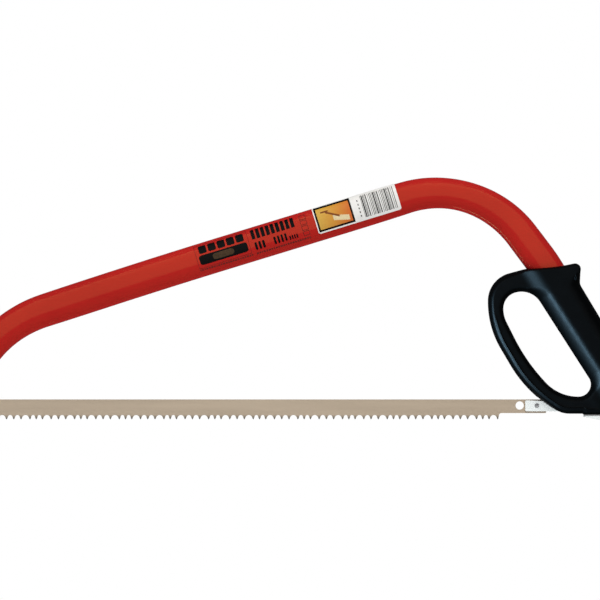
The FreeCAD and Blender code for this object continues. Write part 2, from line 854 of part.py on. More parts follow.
def check(parts):
    """Stop if any object failed or any sub-part has no valid shape."""
    for item in doc.Objects:
        if "Invalid" in item.State or "Error" in item.State:
            raise RuntimeError(f"{item.Name} failed: {item.State}")
    for item in parts:
        if item.Shape.isNull() or not item.Shape.isValid():
            raise RuntimeError(f"{item.Label} has no valid shape")


def write(parts):
    """One STEP file for each sub-part."""
    os.makedirs("parts", exist_ok=True)
    for item in parts:
        item.Shape.exportStep(f"parts/{item.Label}.step")
        print(f"{item.Label}: {len(item.Shape.Solids)} solid(s), {item.Shape.Volume:.1f} mm3")


sub_parts = build()
doc.recompute()
check(sub_parts)
write(sub_parts)
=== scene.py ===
"""Looks of the bow saw: materials, moulded handle, blade, print and label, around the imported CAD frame.

Everything is in metres in the row frame: +X along the blade towards the heel, +Z up, -Y is the near side.
"""
import math

import bmesh
import bpy
import numpy as np
from mathutils import Matrix, Vector
from mathutils.geometry import delaunay_2d_cdt
from mathutils.kdtree import KDTree


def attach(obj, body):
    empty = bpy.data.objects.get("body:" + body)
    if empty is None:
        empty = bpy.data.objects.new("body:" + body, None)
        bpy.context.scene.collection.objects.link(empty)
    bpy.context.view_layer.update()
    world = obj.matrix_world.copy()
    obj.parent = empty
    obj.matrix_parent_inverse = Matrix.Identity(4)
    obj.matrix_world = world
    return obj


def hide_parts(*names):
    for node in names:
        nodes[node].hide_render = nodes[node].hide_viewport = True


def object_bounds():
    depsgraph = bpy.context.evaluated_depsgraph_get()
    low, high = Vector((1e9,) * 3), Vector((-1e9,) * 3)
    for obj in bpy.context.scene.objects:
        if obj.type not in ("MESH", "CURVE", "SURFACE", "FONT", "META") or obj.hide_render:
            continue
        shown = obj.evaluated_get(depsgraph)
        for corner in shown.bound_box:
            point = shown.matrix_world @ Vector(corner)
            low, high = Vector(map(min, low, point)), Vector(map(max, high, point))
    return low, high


MM = 0.001

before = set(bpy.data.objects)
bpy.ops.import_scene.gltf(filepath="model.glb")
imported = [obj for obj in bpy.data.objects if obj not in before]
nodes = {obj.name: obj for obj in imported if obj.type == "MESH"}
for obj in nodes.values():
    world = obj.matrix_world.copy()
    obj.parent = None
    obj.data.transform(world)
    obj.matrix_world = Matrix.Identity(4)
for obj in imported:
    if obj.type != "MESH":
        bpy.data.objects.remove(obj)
CAD_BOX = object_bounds()


# ---------------------------------------------------------------- node-material helpers

def new_material(name):
    """A material with an empty Principled shader; returns the material, its tree and the shader."""
    material = bpy.data.materials.new(name)
    material.use_nodes = True
    tree = material.node_tree
    return material, tree, tree.nodes["Principled BSDF"]


def noise(tree, scale, detail=4.0, roughness=0.55, stretch=(1.0, 1.0, 1.0)):
    """Noise in object space, its coordinates stretched along the axes."""
    place = tree.nodes.new("ShaderNodeTexCoord")
    mapping = tree.nodes.new("ShaderNodeMapping")
    mapping.inputs["Scale"].default_value = stretch
    texture = tree.nodes.new("ShaderNodeTexNoise")
    texture.inputs["Scale"].default_value = scale
    texture.inputs["Detail"].default_value = detail
    texture.inputs["Roughness"].default_value = roughness
    tree.links.new(place.outputs["Object"], mapping.inputs["Vector"])
    tree.links.new(mapping.outputs["Vector"], texture.inputs["Vector"])
    return texture.outputs["Fac"]


def ramp(tree, source, stops):
    """A colour ramp; stops are (position, colour)."""
    node = tree.nodes.new("ShaderNodeValToRGB")
    elements = node.color_ramp.elements
    while len(elements) < len(stops):
        elements.new(0.5)
    for element, (position, colour) in zip(elements, stops):
        element.position = position
        element.color = (*colour, 1.0)
    tree.links.new(source, node.inputs["Fac"])
    return node.outputs["Color"]


def grey_range(tree, source, low, high):
    """A value mapped from 0..1 to low..high."""
    node = tree.nodes.new("ShaderNodeMapRange")
    node.inputs["To Min"].default_value = low
    node.inputs["To Max"].default_value = high
    tree.links.new(source, node.inputs["Value"])
    return node.outputs["Result"]


def bump(tree, shader, source, strength, distance):
    """Bump from a height source."""
    node = tree.nodes.new("ShaderNodeBump")
    node.inputs["Strength"].default_value = strength
    node.inputs["Distance"].default_value = distance
    tree.links.new(source, node.inputs["Height"])
    tree.links.new(node.outputs["Normal"], shader.inputs["Normal"])


# ---------------------------------------------------------------- materials

def paint_material():
    """Glossy orange-red powder coat with faint orange peel."""
    material, tree, shader = new_material("orange_red_paint")
    shade = noise(tree, 14.0)
    colour = ramp(tree, shade, [(0.3, (0.46, 0.0145, 0.0145)), (0.7, (0.52, 0.018, 0.016))])
    tree.links.new(colour, shader.inputs["Base Color"])
    tree.links.new(grey_range(tree, noise(tree, 40.0), 0.10, 0.15), shader.inputs["Roughness"])
    shader.inputs["Specular IOR Level"].default_value = 0.5
    shader.inputs["Specular Tint"].default_value = (1.0, 0.72, 0.25, 1.0)
    bump(tree, shader, noise(tree, 420.0, detail=2.0), 0.03, 0.00008)
    return material


def moulded_plastic():
    """Near-black satin plastic with a fine moulded grain."""
    material, tree, shader = new_material("black_moulding")
    stops = [(0.3, (0.0010, 0.0012, 0.0014)), (0.7, (0.0016, 0.0019, 0.0022))]
    colour = ramp(tree, noise(tree, 60.0), stops)
    tree.links.new(colour, shader.inputs["Base Color"])
    shader.inputs["Specular IOR Level"].default_value = 0.05
    tree.links.new(grey_range(tree, noise(tree, 180.0), 0.36, 0.46), shader.inputs["Roughness"])
    bump(tree, shader, noise(tree, 2600.0, detail=3.0), 0.12, 0.00006)
    return material


def plated_steel(name, colour, roughness, metallic, grain=(1.0, 1.0, 1.0)):
    """Zinc-plated or bright steel with a light directional grain."""
    material, tree, shader = new_material(name)
    darker = tuple(0.94 * part for part in colour)
    shade = noise(tree, 160.0, stretch=grain)
    tree.links.new(ramp(tree, shade, [(0.3, darker), (0.7, colour)]), shader.inputs["Base Color"])
    shader.inputs["Metallic"].default_value = metallic
    tree.links.new(grey_range(tree, shade, roughness, roughness + 0.12), shader.inputs["Roughness"])
    bump(tree, shader, noise(tree, 300.0, detail=1.0, stretch=grain), 0.02, 0.00001)
    return material


def blade_steel():
    """Lacquered blade steel: warm beige grey, greyer along the teeth."""
    material, tree, shader = new_material("lacquered_blade")
    rolled = noise(tree, 90.0, stretch=(0.06, 1.0, 1.0))
    body = ramp(tree, rolled, [(0.25, (0.49, 0.40, 0.30)), (0.75, (0.60, 0.495, 0.375))])
    place = tree.nodes.new("ShaderNodeTexCoord")
    axes = tree.nodes.new("ShaderNodeSeparateXYZ")
    tree.links.new(place.outputs["Object"], axes.inputs["Vector"])
    band = tree.nodes.new("ShaderNodeMapRange")
    band.inputs["From Min"].default_value = -0.0715
    band.inputs["From Max"].default_value = -0.0680
    tree.links.new(axes.outputs["Z"], band.inputs["Value"])
    mix = tree.nodes.new("ShaderNodeMix")
    mix.data_type = "RGBA"
    mix.inputs[6].default_value = (0.10, 0.095, 0.09, 1.0)
    tree.links.new(band.outputs["Result"], mix.inputs[0])
    tree.links.new(body, mix.inputs[7])
    tree.links.new(mix.outputs[2], shader.inputs["Base Color"])
    shader.inputs["Metallic"].default_value = 0.10
    tree.links.new(grey_range(tree, rolled, 0.38, 0.52), shader.inputs["Roughness"])
    bump(tree, shader, noise(tree, 700.0, stretch=(0.05, 1.0, 1.0)), 0.08, 0.00005)
    return material


def paper():
    """White label paper with a faint tooth."""
    material, tree, shader = new_material("label_paper")
    colour = ramp(tree, noise(tree, 300.0), [(0.3, (0.86, 0.86, 0.85)), (0.7, (0.92, 0.92, 0.91))])
    tree.links.new(colour, shader.inputs["Base Color"])
    shader.inputs["Roughness"].default_value = 0.42
    bump(tree, shader, noise(tree, 1800.0), 0.04, 0.00003)
    return material


def ink(name, colour, spread=0.15):
    """Printing ink, slightly uneven."""
    material, tree, shader = new_material(name)
    darker = tuple((1.0 - spread) * part for part in colour)
    shade = noise(tree, 500.0)
    tree.links.new(ramp(tree, shade, [(0.35, darker), (0.65, colour)]), shader.inputs["Base Color"])
    tree.links.new(grey_range(tree, shade, 0.38, 0.50), shader.inputs["Roughness"])
    shader.inputs["Specular IOR Level"].default_value = 0.15
    return material


PANEL_ENDS = (-0.2492, -0.2210)


def panel_ink():
    """Yellow running to orange along the label."""
    material, tree, shader = new_material("panel_ink")
    place = tree.nodes.new("ShaderNodeTexCoord")
    axes = tree.nodes.new("ShaderNodeSeparateXYZ")
    tree.links.new(place.outputs["Object"], axes.inputs["Vector"])
    share = tree.nodes.new("ShaderNodeMapRange")
    share.inputs["From Min"].default_value = PANEL_ENDS[0]
    share.inputs["From Max"].default_value = PANEL_ENDS[1]
    tree.links.new(axes.outputs["X"], share.inputs["Value"])
    stops = [(0.0, (0.66, 0.39, 0.055)), (0.45, (0.65, 0.29, 0.028)), (1.0, (0.64, 0.135, 0.013))]
    tree.links.new(ramp(tree, share.outputs["Result"], stops), shader.inputs["Base Color"])
    shader.inputs["Roughness"].default_value = 0.42
    return material


def dress(node, material):
    """Give a CAD node one material."""
    slots = nodes[node].data.materials
    slots.clear()
    slots.append(material)


PAINT = paint_material()
PLASTIC = moulded_plastic()
ZINC = plated_steel("bright_zinc", (0.60, 0.625, 0.62), 0.36, 0.05)
PIN_STEEL = plated_steel("pin_steel", (0.62, 0.63, 0.64), 0.32, 0.85)
DARK_STEEL = plated_steel("blackened_steel", (0.09, 0.09, 0.095), 0.40, 0.85)
BLADE = blade_steel()
PAPER = paper()
PRINT = ink("black_ink", (0.003, 0.0026, 0.0026))
FAINT_PRINT = ink("faint_ink", (0.17, 0.016, 0.012))
OLIVE_PRINT = ink("olive_ink", (0.075, 0.045, 0.022), 0.35)
PANEL = panel_ink()
CREAM = ink("cream_ink", (0.84, 0.70, 0.42), 0.08)
BROWN_PRINT = ink("brown_ink", (0.24, 0.075, 0.02), 0.25)

FINISHES = {
    "frame_tube": PAINT,
    "handle_near_shell": PLASTIC,
    "handle_far_shell": PLASTIC,
    "guard_screws": DARK_STEEL,
    "grip_screws": DARK_STEEL,
    "size_label": PAPER,
    "lever_pivot_near": PIN_STEEL,
    "lever_pivot_far": PIN_STEEL,
    "tension_lever": ZINC,
    "link_pin": PIN_STEEL,
    "link_spacer_near": PIN_STEEL,
    "link_spacer_far": PIN_STEEL,
    "blade_link": ZINC,
    "blade_peg": ZINC,
    "saw_blade": BLADE,
    "front_blade_pin": PIN_STEEL,
    "front_pin_clip": DARK_STEEL,
}
for node, finish in FINISHES.items():
    dress(node, finish)


# ---------------------------------------------------------------- mesh helpers

CREASE = math.radians(32.0)


def shade(mesh):
    """Smooth faces with creases kept sharp."""
    mesh.shade_smooth()
    mesh.set_sharp_from_angle(angle=CREASE)


def mesh_object(name, points, faces, material):
    """A smooth-shaded object from points in millimetres, its faces turned outwards."""
    mesh = bpy.data.meshes.new(name)
    mesh.from_pydata([tuple(MM * part for part in point) for point in points], [], faces)
    work = bmesh.new()
    work.from_mesh(mesh)
    bmesh.ops.recalc_face_normals(work, faces=work.faces)
    work.to_mesh(mesh)
    work.free()
    mesh.materials.append(material)
    shade(mesh)
    thing = bpy.data.objects.new(name, mesh)
    bpy.context.scene.collection.objects.link(thing)
    return thing


def carve(thing, cutters):
    """Cut closed shapes out of an object, then throw the shapes away."""
    for cutter in cutters:
        step = thing.modifiers.new("cut", "BOOLEAN")
        step.operation = "DIFFERENCE"
        step.solver = "EXACT"
        step.object = cutter
    bpy.context.view_layer.update()
    graph = bpy.context.evaluated_depsgraph_get()
    mesh = bpy.data.meshes.new_from_object(thing.evaluated_get(graph))
    thing.modifiers.clear()
    thing.data = mesh
    shade(mesh)
    for cutter in cutters:
        bpy.data.objects.remove(cutter)


def loft(name, rings, material):
    """A closed skin through equal rings of points, capped at both ends."""
    count = len(rings[0])
    points = [point for ring in rings for point in ring]
    faces = [tuple(reversed(range(count)))]
    for level in range(len(rings) - 1):
        low = level * count
        for index in range(count):
            ahead = (index + 1) % count
            faces.append((low + index, low + ahead, low + count + ahead, low + count + index))
    faces.append(tuple(range(len(points) - count, len(points))))
    return mesh_object(name, points, faces, material)


def prism(name, outline, low, high):
    """An outline of the X-Z plane (anticlockwise), drawn out from Y = high to Y = low."""
    rings = [[(x, level, z) for x, z in outline] for level in (high, low)]
    return loft(name, rings, None)


def ring_outline(centre, radius, count=32):
    """A circle in the X-Z plane."""
    turns = [2 * math.pi * number / count for number in range(count)]
    return [(centre[0] + radius * math.cos(turn), centre[1] + radius * math.sin(turn)) for turn in turns]


def even_steps(points, step):
    """A closed run of points, placed again at equal steps."""
    closed = np.vstack([points, points[:1]])
    along = np.concatenate([[0.0], np.cumsum(np.linalg.norm(np.diff(closed, axis=0), axis=1))])
    count = int(round(along[-1] / step))
    places = np.linspace(0.0, along[-1], count, endpoint=False)
    return np.column_stack([np.interp(places, along, closed[:, axis]) for axis in (0, 1)])


def rounded_outline(corners, step):
    """Evenly spaced points of a closed outline whose corners are (x, z, radius)."""
    points = []
    for index, (x, z, radius) in enumerate(corners):
        corner = np.array((x, z))
        if radius == 0:
            points.append(corner)
            continue
        before = np.array(corners[index - 1][:2]) - corner
        after = np.array(corners[(index + 1) % len(corners)][:2]) - corner
        before = before / np.linalg.norm(before)
        after = after / np.linalg.norm(after)
        half = math.acos(float(before @ after)) / 2.0
        inward = (before + after) / np.linalg.norm(before + after)
        centre = corner + inward * radius / math.sin(half)
        start = corner + before * radius / math.tan(half) - centre
        end = corner + after * radius / math.tan(half) - centre
        first = math.atan2(start[1], start[0])
        turn = (math.atan2(end[1], end[0]) - first + math.pi) % (2 * math.pi) - math.pi
        pieces = max(3, int(abs(turn) * radius * 3.0 / step))
        for number in range(pieces + 1):
            angle = first + turn * number / pieces
            points.append(centre + radius * np.array((math.cos(angle), math.sin(angle))))
    return even_steps(np.array(points), step)


def polar(origin, angle, distance):
    """The point at a distance from origin, in the X-Z plane."""
    turn = math.radians(angle)
    return (origin[0] + distance * math.cos(turn), origin[1] + distance * math.sin(turn))


def smooth_step(value):
    """0 below 0, 1 above 1, smooth between."""
    held = np.clip(value, 0.0, 1.0)
    return held * held * (3.0 - 2.0 * held)


def place_piece(thing, body, slot, *replaced):
    """Let a piece ride on a body and hide the CAD nodes it stands for; the slot is not used."""
    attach(thing, body)
    if replaced:
        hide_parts(*replaced)
    return thing


# ---------------------------------------------------------------- frame tube

REAR_UP = 122.0
GRIP = polar((0.0, 0.0), REAR_UP + 90.0, 2.35)
TAIL = polar(GRIP, REAR_UP, -96.0)
LOWER_CORNER = polar(GRIP, REAR_UP, 84.9)
REAR_CORNER = polar(LOWER_CORNER, 126.94, 98.35)
SPINE_WAY = 197.0
FRONT_SPINE_WAY = 198.04
FRONT_DOWN = 243.0
SPINE_BOW = polar(REAR_CORNER, SPINE_WAY, 294.6)
FRONT_CORNER = polar(SPINE_BOW, FRONT_SPINE_WAY, 163.9)
NOSE_START = polar(FRONT_CORNER, FRONT_DOWN, 48.0)
TUBE_HIGH = 30.4
TUBE_WIDE = 19.0
TUBE_POWER = 2.35
TUBE_CORNERS = [
    (TAIL, 0.0),
    (LOWER_CORNER, 150.0),
    (REAR_CORNER, 96.9),
    (SPINE_BOW, 6600.0),
    (FRONT_CORNER, 112.0),
    (NOSE_START, 0.0),
]
NECKS = [(285.0, 50.0, 0.085), (719.0, 40.0, 0.05)]
PRINT_START = polar(REAR_CORNER, SPINE_WAY, -8.8)
NOSE_STATIONS = [
    (8.0, 32.2, 15.0, 2.5),
    (16.0, 35.8, 8.3, 3.0),
    (24.0, 38.0, 4.5, 4.0),
    (46.0, 38.0, 4.5, 4.0),
]
STATION_STEP = 2.0
SECTION_POINTS = 96


def tube_runs():
    """Length, radius and turn of each straight run and bend between the tube's corners."""
    ways = []
    lengths = []
    for (start, _), (end, _) in zip(TUBE_CORNERS, TUBE_CORNERS[1:]):
        ways.append(math.degrees(math.atan2(end[1] - start[1], end[0] - start[0])) % 360.0)
        lengths.append(math.dist(start, end))
    runs = []
    used = 0.0
    for number, length in enumerate(lengths):
        radius = TUBE_CORNERS[number + 1][1]
        turn = ways[number + 1] - ways[number] if radius > 0 else 0.0
        tangent = radius * math.tan(math.radians(turn) / 2.0)
        runs.append((length - used - tangent, 0.0, 0.0))
        if radius > 0:
            runs.append((radius * math.radians(turn), radius, turn))
        used = tangent
    return runs


def tube_stations():
    """Place, heading and distance of each station along the rear leg, bends and spine."""
    place = TAIL
    heading = REAR_UP
    gone = 0.0
    stations = [(place, heading, gone)]
    for length, radius, turn in tube_runs():
        count = max(1, round(length / STATION_STEP))
        chord = length / count
        if radius > 0:
            chord = 2.0 * radius * math.sin(math.radians(turn / count / 2.0))
        for _ in range(count):
            heading += turn / count / 2.0
            place = polar(place, heading, chord)
            heading += turn / count / 2.0
            gone += length / count
            stations.append((place, heading, gone))
    return stations


def oval_point(turn, high, wide, power):
    """A point (across, y) of a flattened oval; turn 0 is the top, a quarter turn is the near side."""
    up = math.cos(turn)
    out = math.sin(turn)
    across = math.copysign(abs(up) ** (2.0 / power), up) * high / 2.0
    depth = math.copysign(abs(out) ** (2.0 / power), out) * wide / 2.0
    return (across, -depth)


def oval(high, wide, power):
    """A whole section."""
    turns = [2 * math.pi * number / SECTION_POINTS for number in range(SECTION_POINTS)]
    return [oval_point(turn, high, wide, power) for turn in turns]


def station_ring(place, heading, section):
    """A section square to the heading, as points (x, y, z); up the section is to the heading's right."""
    ring = []
    for across, depth in section:
        x, z = polar(place, heading - 90.0, across)
        ring.append((x, depth, z))
    return ring


def necking(gone):
    """How much the section is narrower in the bends."""
    return 1.0 - sum(share * math.exp(-((gone - middle) / reach) ** 2) for middle, reach, share in NECKS)


NOSE_TRIM = [
    (-640, -41, 0),
    (-591.5, -41, 6),
    (-591.5, -71, 8),
    (-565, -71, 10),
    (-556, -57, 3),
    (-540, -57, 0),
    (-540, -110, 0),
    (-640, -110, 0),
]
NOTCH = [(-610, -55.5, 0), (-579.35, -55.5, 3.9), (-579.35, -63.5, 3.9), (-610, -63.5, 0)]


def frame_cutters():
    """Fork, trimmed tail, nose slit, nose corners and notch, as in the CAD tube."""
    start = polar(GRIP, REAR_UP, -48.0)
    end = polar(TAIL, REAR_UP, -3.0)
    across = REAR_UP - 90.0
    fork = [
        polar(start, across, -30),
        polar(end, across, -30),
        polar(end, across, 30),
        polar(start, across, 30),
    ]
    return [
        prism("cut_fork", fork, -8.0, 8.0),
        prism("cut_tail", [(-20, -130), (90, -130), (90, -67), (-20, -67)], -30.0, 30.0),
        prism("cut_slit", [(-640, -100), (-540, -100), (-540, -50), (-640, -50)], -0.8, 0.8),
        prism("cut_nose", rounded_outline(NOSE_TRIM, 1.0), -30.0, 30.0),
        prism("cut_notch", rounded_outline(NOTCH, 0.5), -30.0, 30.0),
    ]


def bent_tube():
    """The frame tube, drawn smoothly through its bends to the flattened nose."""
    rings = []
    stations = tube_stations()
    for place, heading, gone in stations:
        section = oval(TUBE_HIGH * necking(gone), TUBE_WIDE, TUBE_POWER)
        rings.append(station_ring(place, heading, section))
    place, heading, _ = stations[-1]
    for distance, high, wide, power in NOSE_STATIONS:
        rings.append(station_ring(polar(place, heading, distance), heading, oval(high, wide, power)))
    tube = loft("bent_tube", rings, PAINT)
    carve(tube, frame_cutters())
    return place_piece(tube, "frame", "frame_tube", "frame_tube")


bent_tube()


# ---------------------------------------------------------------- print and label on the spine

def section_table():
    """Arc length, across and y over the section: from the underside up the near side and over the top."""
    turns = np.linspace(math.pi, -math.pi, 1441)
    section = np.array([oval_point(turn, TUBE_HIGH, TUBE_WIDE, TUBE_POWER) for turn in turns])
    steps = np.concatenate([[0.0], np.cumsum(np.linalg.norm(np.diff(section, axis=0), axis=1))])
    return steps - steps[len(steps) // 4], section[:, 0], section[:, 1]


WRAP, ACROSS, DEPTH = section_table()


def wrap_at(across):
    """Arc length from the near side's centre line to a height across the near side."""
    near = slice(0, len(WRAP) // 2 + 1)
    return float(np.interp(across, ACROSS[near], WRAP[near]))


def on_spine(along, wrap, lift):
    """A point on the spine's skin: distance along it, arc length across it, height off the skin."""
    nudge = 0.05
    here = np.array([np.interp(wrap, WRAP, ACROSS), np.interp(wrap, WRAP, DEPTH)])
    ahead = np.array([np.interp(wrap + nudge, WRAP, ACROSS), np.interp(wrap + nudge, WRAP, DEPTH)])
    behind = np.array([np.interp(wrap - nudge, WRAP, ACROSS), np.interp(wrap - nudge, WRAP, DEPTH)])
    way = (ahead - behind) / np.linalg.norm(ahead - behind)
    across, depth = here + lift * np.array((way[1], -way[0]))
    centre = polar(PRINT_START, SPINE_WAY, along)
    x, z = polar(centre, SPINE_WAY - 90.0, across)
    return (x, depth, z)


ROW = 0.55


def film(name, shapes, lift, thick, material):
    """Thin closed patches on the spine; a shape is (middle, low, high, half-length at each height)."""
    points = []
    faces = []
    for middle, low, high, half in shapes:
        first = len(points)
        rows = max(1, math.ceil((high - low) / ROW))
        for number in range(rows + 1):
            wrap = low + (high - low) * number / rows
            reach = half(wrap)
            for side in (reach, -reach):
                points.append(on_spine(middle + side, wrap, lift))
                points.append(on_spine(middle + side, wrap, lift - thick))
            if number:
                a = first + 4 * (number - 1)
                b = a + 4
                faces += [(a, a + 2, b + 2, b), (a + 1, b + 1, b + 3, a + 3), (a, b, b + 1, a + 1),
                          (a + 2, a + 3, b + 3, b + 2)]
        last = first + 4 * rows
        faces += [(first, first + 1, first + 3, first + 2), (last, last + 2, last + 3, last + 1)]
    return mesh_object(name, points, faces, material)


def bar(start, end, low, high):
    """A plain bar from start to end along the spine and low to high across it."""
    half = (end - start) / 2.0
    return ((start + end) / 2.0, wrap_at(low), wrap_at(high), lambda wrap: half)


def block(start, end, low, high, radius):
    """A bar with rounded corners."""
    half = (end - start) / 2.0
    bottom = wrap_at(low)
    top = wrap_at(high)
    middle = (bottom + top) / 2.0
    straight = (top - bottom) / 2.0 - radius

    def reach(wrap):
        past = min(radius, max(0.0, abs(wrap - middle) - straight))
        return half - radius + math.sqrt(radius ** 2 - past ** 2)

    return ((start + end) / 2.0, bottom, top, reach)


def frame_of(start, end, low, high, line):
    """Four bars round a rectangle."""
    return [
        bar(start, end, low, low + line),
        bar(start, end, high - line, high),
        bar(start, start + line, low + line, high - line),
        bar(end - line, end, low + line, high - line),
    ]


def row_of(start, count, width, gap, low, high, shape=bar, *extra):
    """Equal shapes side by side along the spine."""
    return [shape(start + number * (width + gap), start + number * (width + gap) + width, low, high, *extra)
            for number in range(count)]


def fine_marks(start, end, low, high):
    """A line of short dashes of uneven length."""
    marks = []
    number = 0
    while start < end:
        width = 1.1 + 0.9 * ((number * 7) % 5) / 4.0
        marks.append(bar(start, min(end, start + width), low, high))
        start += width + 0.7
        number += 1
    return marks


def spine_print():
    """Generic printed blocks, bars and dashes in black, with fainter outlines."""
    bold = row_of(228.6, 5, 7.2, 1.6, 5.3, 12.2, block, 1.2)
    bold += [block(227.0, 272.5, -5.0, 3.8, 2.4)]
    bold += row_of(181.0, 9, 3.2, 1.45, 3.9, 12.7)
    bold += row_of(190.6, 4, 1.9, 1.5, -6.2, 1.0, block, 0.8)
    bold += row_of(211.2, 3, 2.2, 1.4, -6.2, 1.0, block, 0.8)
    bold += row_of(180.6, 4, 1.3, 0.9, -6.2, -2.6)
    faint = frame_of(225.0, 274.8, -7.6, 13.2, 0.35)
    for low in (-6.6, -1.7, 3.2, 8.1):
        faint += frame_of(169.5, 175.5, low, low + 4.2, 0.5)
    faint += fine_marks(224.5, 274.5, -9.9, -8.4)
    faint += fine_marks(170.0, 221.5, -9.9, -8.4)
    emblem = [block(240.0, 260.0, -3.2, 2.4, 2.6)]
    for name, shapes, lift, material in (
            ("spine_print_bold", bold, 0.05, PRINT), ("spine_print_fine", faint, 0.05, FAINT_PRINT),
            ("spine_print_oval", emblem, 0.09, OLIVE_PRINT)):
        place_piece(film(name, shapes, lift, 0.04, material), "frame", "label")


spine_print()

LABEL_ENDS = (83.5, 162.0)
LABEL_LOW = -9.0


def label_sheet():
    """The white label, from low on the near side over the top to the middle of the far side."""
    low = wrap_at(LABEL_LOW)
    top = float(WRAP[np.argmax(ACROSS)])
    high = top + (top - wrap_at(0.0))
    half = (LABEL_ENDS[1] - LABEL_ENDS[0]) / 2.0
    radius = 2.0

    def reach(wrap):
        past = max(0.0, low + radius - wrap)
        return half - radius + math.sqrt(radius ** 2 - past ** 2)

    shape = ((LABEL_ENDS[0] + LABEL_ENDS[1]) / 2.0, low, high, reach)
    return place_piece(film("size_label_sheet", [shape], 0.13, 0.12, PAPER), "frame", "label", "size_label")


def label_art():
    """Pictogram panel with a plank and a tool stroke, and a block of plain bars."""
    border = frame_of(126.8, 161.0, -7.6, 14.6, 1.7)
    panel = [bar(128.5, 159.3, -5.9, 12.9)]
    plank = []
    for number in range(9):
        start = 130.8 + 1.6 * number
        plank.append(bar(start, start + 1.65, -4.2 + 0.42 * number, 0.6 + 0.42 * number))
    stroke = []
    for number in range(12):
        start = 139.2 + 1.0 * number
        stroke.append(bar(start, start + 1.05, 1.2 + 0.55 * number, 3.0 + 0.55 * number))
    stroke += [block(148.2, 155.7, 8.4, 9.8, 0.6)]
    widths = [0.55, 0.35, 0.9, 0.35, 0.6, 1.15, 0.35, 0.6]
    bars = []
    start = 86.5
    number = 0
    while start < 117.0:
        width = widths[number % len(widths)]
        bars.append(bar(start, start + width, -6.6, 13.6))
        start += width + 0.15 + widths[(3 * number + 2) % len(widths)]
        number += 1
    side_marks = [bar(120.0, 120.9, low, low + 1.6) for low in (-5.0, -1.5, 2.0, 5.5, 9.0)]
    for name, shapes, lift, material in (
            ("label_border", border, 0.17, PRINT), ("label_panel", panel, 0.165, PANEL),
            ("label_plank", plank, 0.20, CREAM), ("label_stroke", stroke, 0.21, BROWN_PRINT),
            ("label_bars", bars, 0.165, PRINT), ("label_side_marks", side_marks, 0.165, PRINT)):
        place_piece(film(name, shapes, lift, 0.03, material), "frame", "label")


label_sheet()
label_art()


# ---------------------------------------------------------------- moulded handle

HANDLE_OUTLINE = [
    (-62.0, 64.8, 40),
    (-96.5, 55.5, 26),
    (-96.5, 11.8, 84),
    (-61.9, -46.9, 115),
    (-29.9, -67.0, 28),
    (-10.3, -67.0, 0),
    (-9.5, -68.2, 0),
    (58.5, -68.2, 6),
    (-12.9, 50.9, 8),
    (-12.0, 70.9, 5),
    (-27.0, 67.8, 25),
]
FINGER_OPENING = [
    (-56.7, 46.6, 20),
    (-82.4, 40.6, 15),
    (-82.4, 22.0, 27),
    (-61.5, -19.5, 170),
    (-32.0, -51.4, 40),
    (6.2, -51.4, 11),
]
OPENING_LINE = (-56.7, 46.6)
ACROSS_GRIP = (0.8416, 0.5402)
GUARD_HALF = 10.0
GRIP_EXTRA = 4.5
OUTLINE_STEP = 1.0
RING_TURNS = 9
FACE_STEP = 1.5
CLOSEST = 0.17
BEAD_AT = 5.4
BEAD_HIGH = 0.28
BEAD_HALF = 0.42
BEAD_RINGS = (4.5, 4.8, 5.05, 5.25, 5.4, 5.55, 5.75, 6.0, 6.4)
DISH_DEEP = 0.45
DISH_REACH = 1.2
SWELL_START = -3.0
SWELL_REACH = 18.0
NOT_OVERTAKEN = 0.96
CLEAR_OF_OTHER = 0.25
CROWDED = 0.55
SHELL_FACE = 0.05
PIVOT = (35.7, -61.6)


def across_grip(points):
    """Distance to the heel side of the finger opening's straight side."""
    beyond_x = (points[:, 0] - OPENING_LINE[0]) * ACROSS_GRIP[0]
    beyond_z = (points[:, 1] - OPENING_LINE[1]) * ACROSS_GRIP[1]
    return beyond_x + beyond_z


def blur_round(values, reach):
    """Values round a loop, each averaged with its neighbours."""
    count = len(values)
    total = np.zeros(count)
    for shift in range(-reach, reach + 1):
        total += np.roll(values, shift)
    return total / (2 * reach + 1)


def outline_radii(loop):
    """How far the outer edge is rounded, point by point."""
    across = across_grip(loop)
    radii = np.full(len(loop), 5.2)
    radii[across > 25.0] = 12.0
    radii[(loop[:, 1] > 57.0) & (across > 0.0)] = 2.2
    radii[loop[:, 1] < -64.5] = 3.4
    return blur_round(radii, 6)


def opening_radii(loop):
    """How far the opening's edge is rounded: most along the grip."""
    radii = np.where(across_grip(loop) > -1.5, 13.0, 4.6)
    return blur_round(radii, 6)


def to_loop(points, loop):
    """Distance to a closed loop, and the index of its nearest point."""
    starts = loop
    ways = np.roll(loop, -1, axis=0) - loop
    lengths = (ways ** 2).sum(axis=1)
    distance = np.empty(len(points))
    nearest = np.empty(len(points), dtype=int)
    for first in range(0, len(points), 2000):
        part = points[first:first + 2000]
        rel = part[:, None, :] - starts[None, :, :]
        share = np.clip((rel * ways[None]).sum(axis=2) / lengths[None], 0.0, 1.0)
        gap = np.linalg.norm(rel - share[..., None] * ways[None], axis=2)
        nearest[first:first + 2000] = gap.argmin(axis=1)
        distance[first:first + 2000] = gap.min(axis=1)
    return distance, nearest


def inside(points, loop):
    """Whether each point lies within a closed loop."""
    x, z = points[:, 0], points[:, 1]
    result = np.zeros(len(points), dtype=bool)
    for (x1, z1), (x2, z2) in zip(loop, np.roll(loop, -1, axis=0)):
        if z1 == z2:
            continue
        crosses = ((z1 > z) != (z2 > z)) & (x < x1 + (z - z1) * (x2 - x1) / (z2 - z1))
        result ^= crosses
    return result


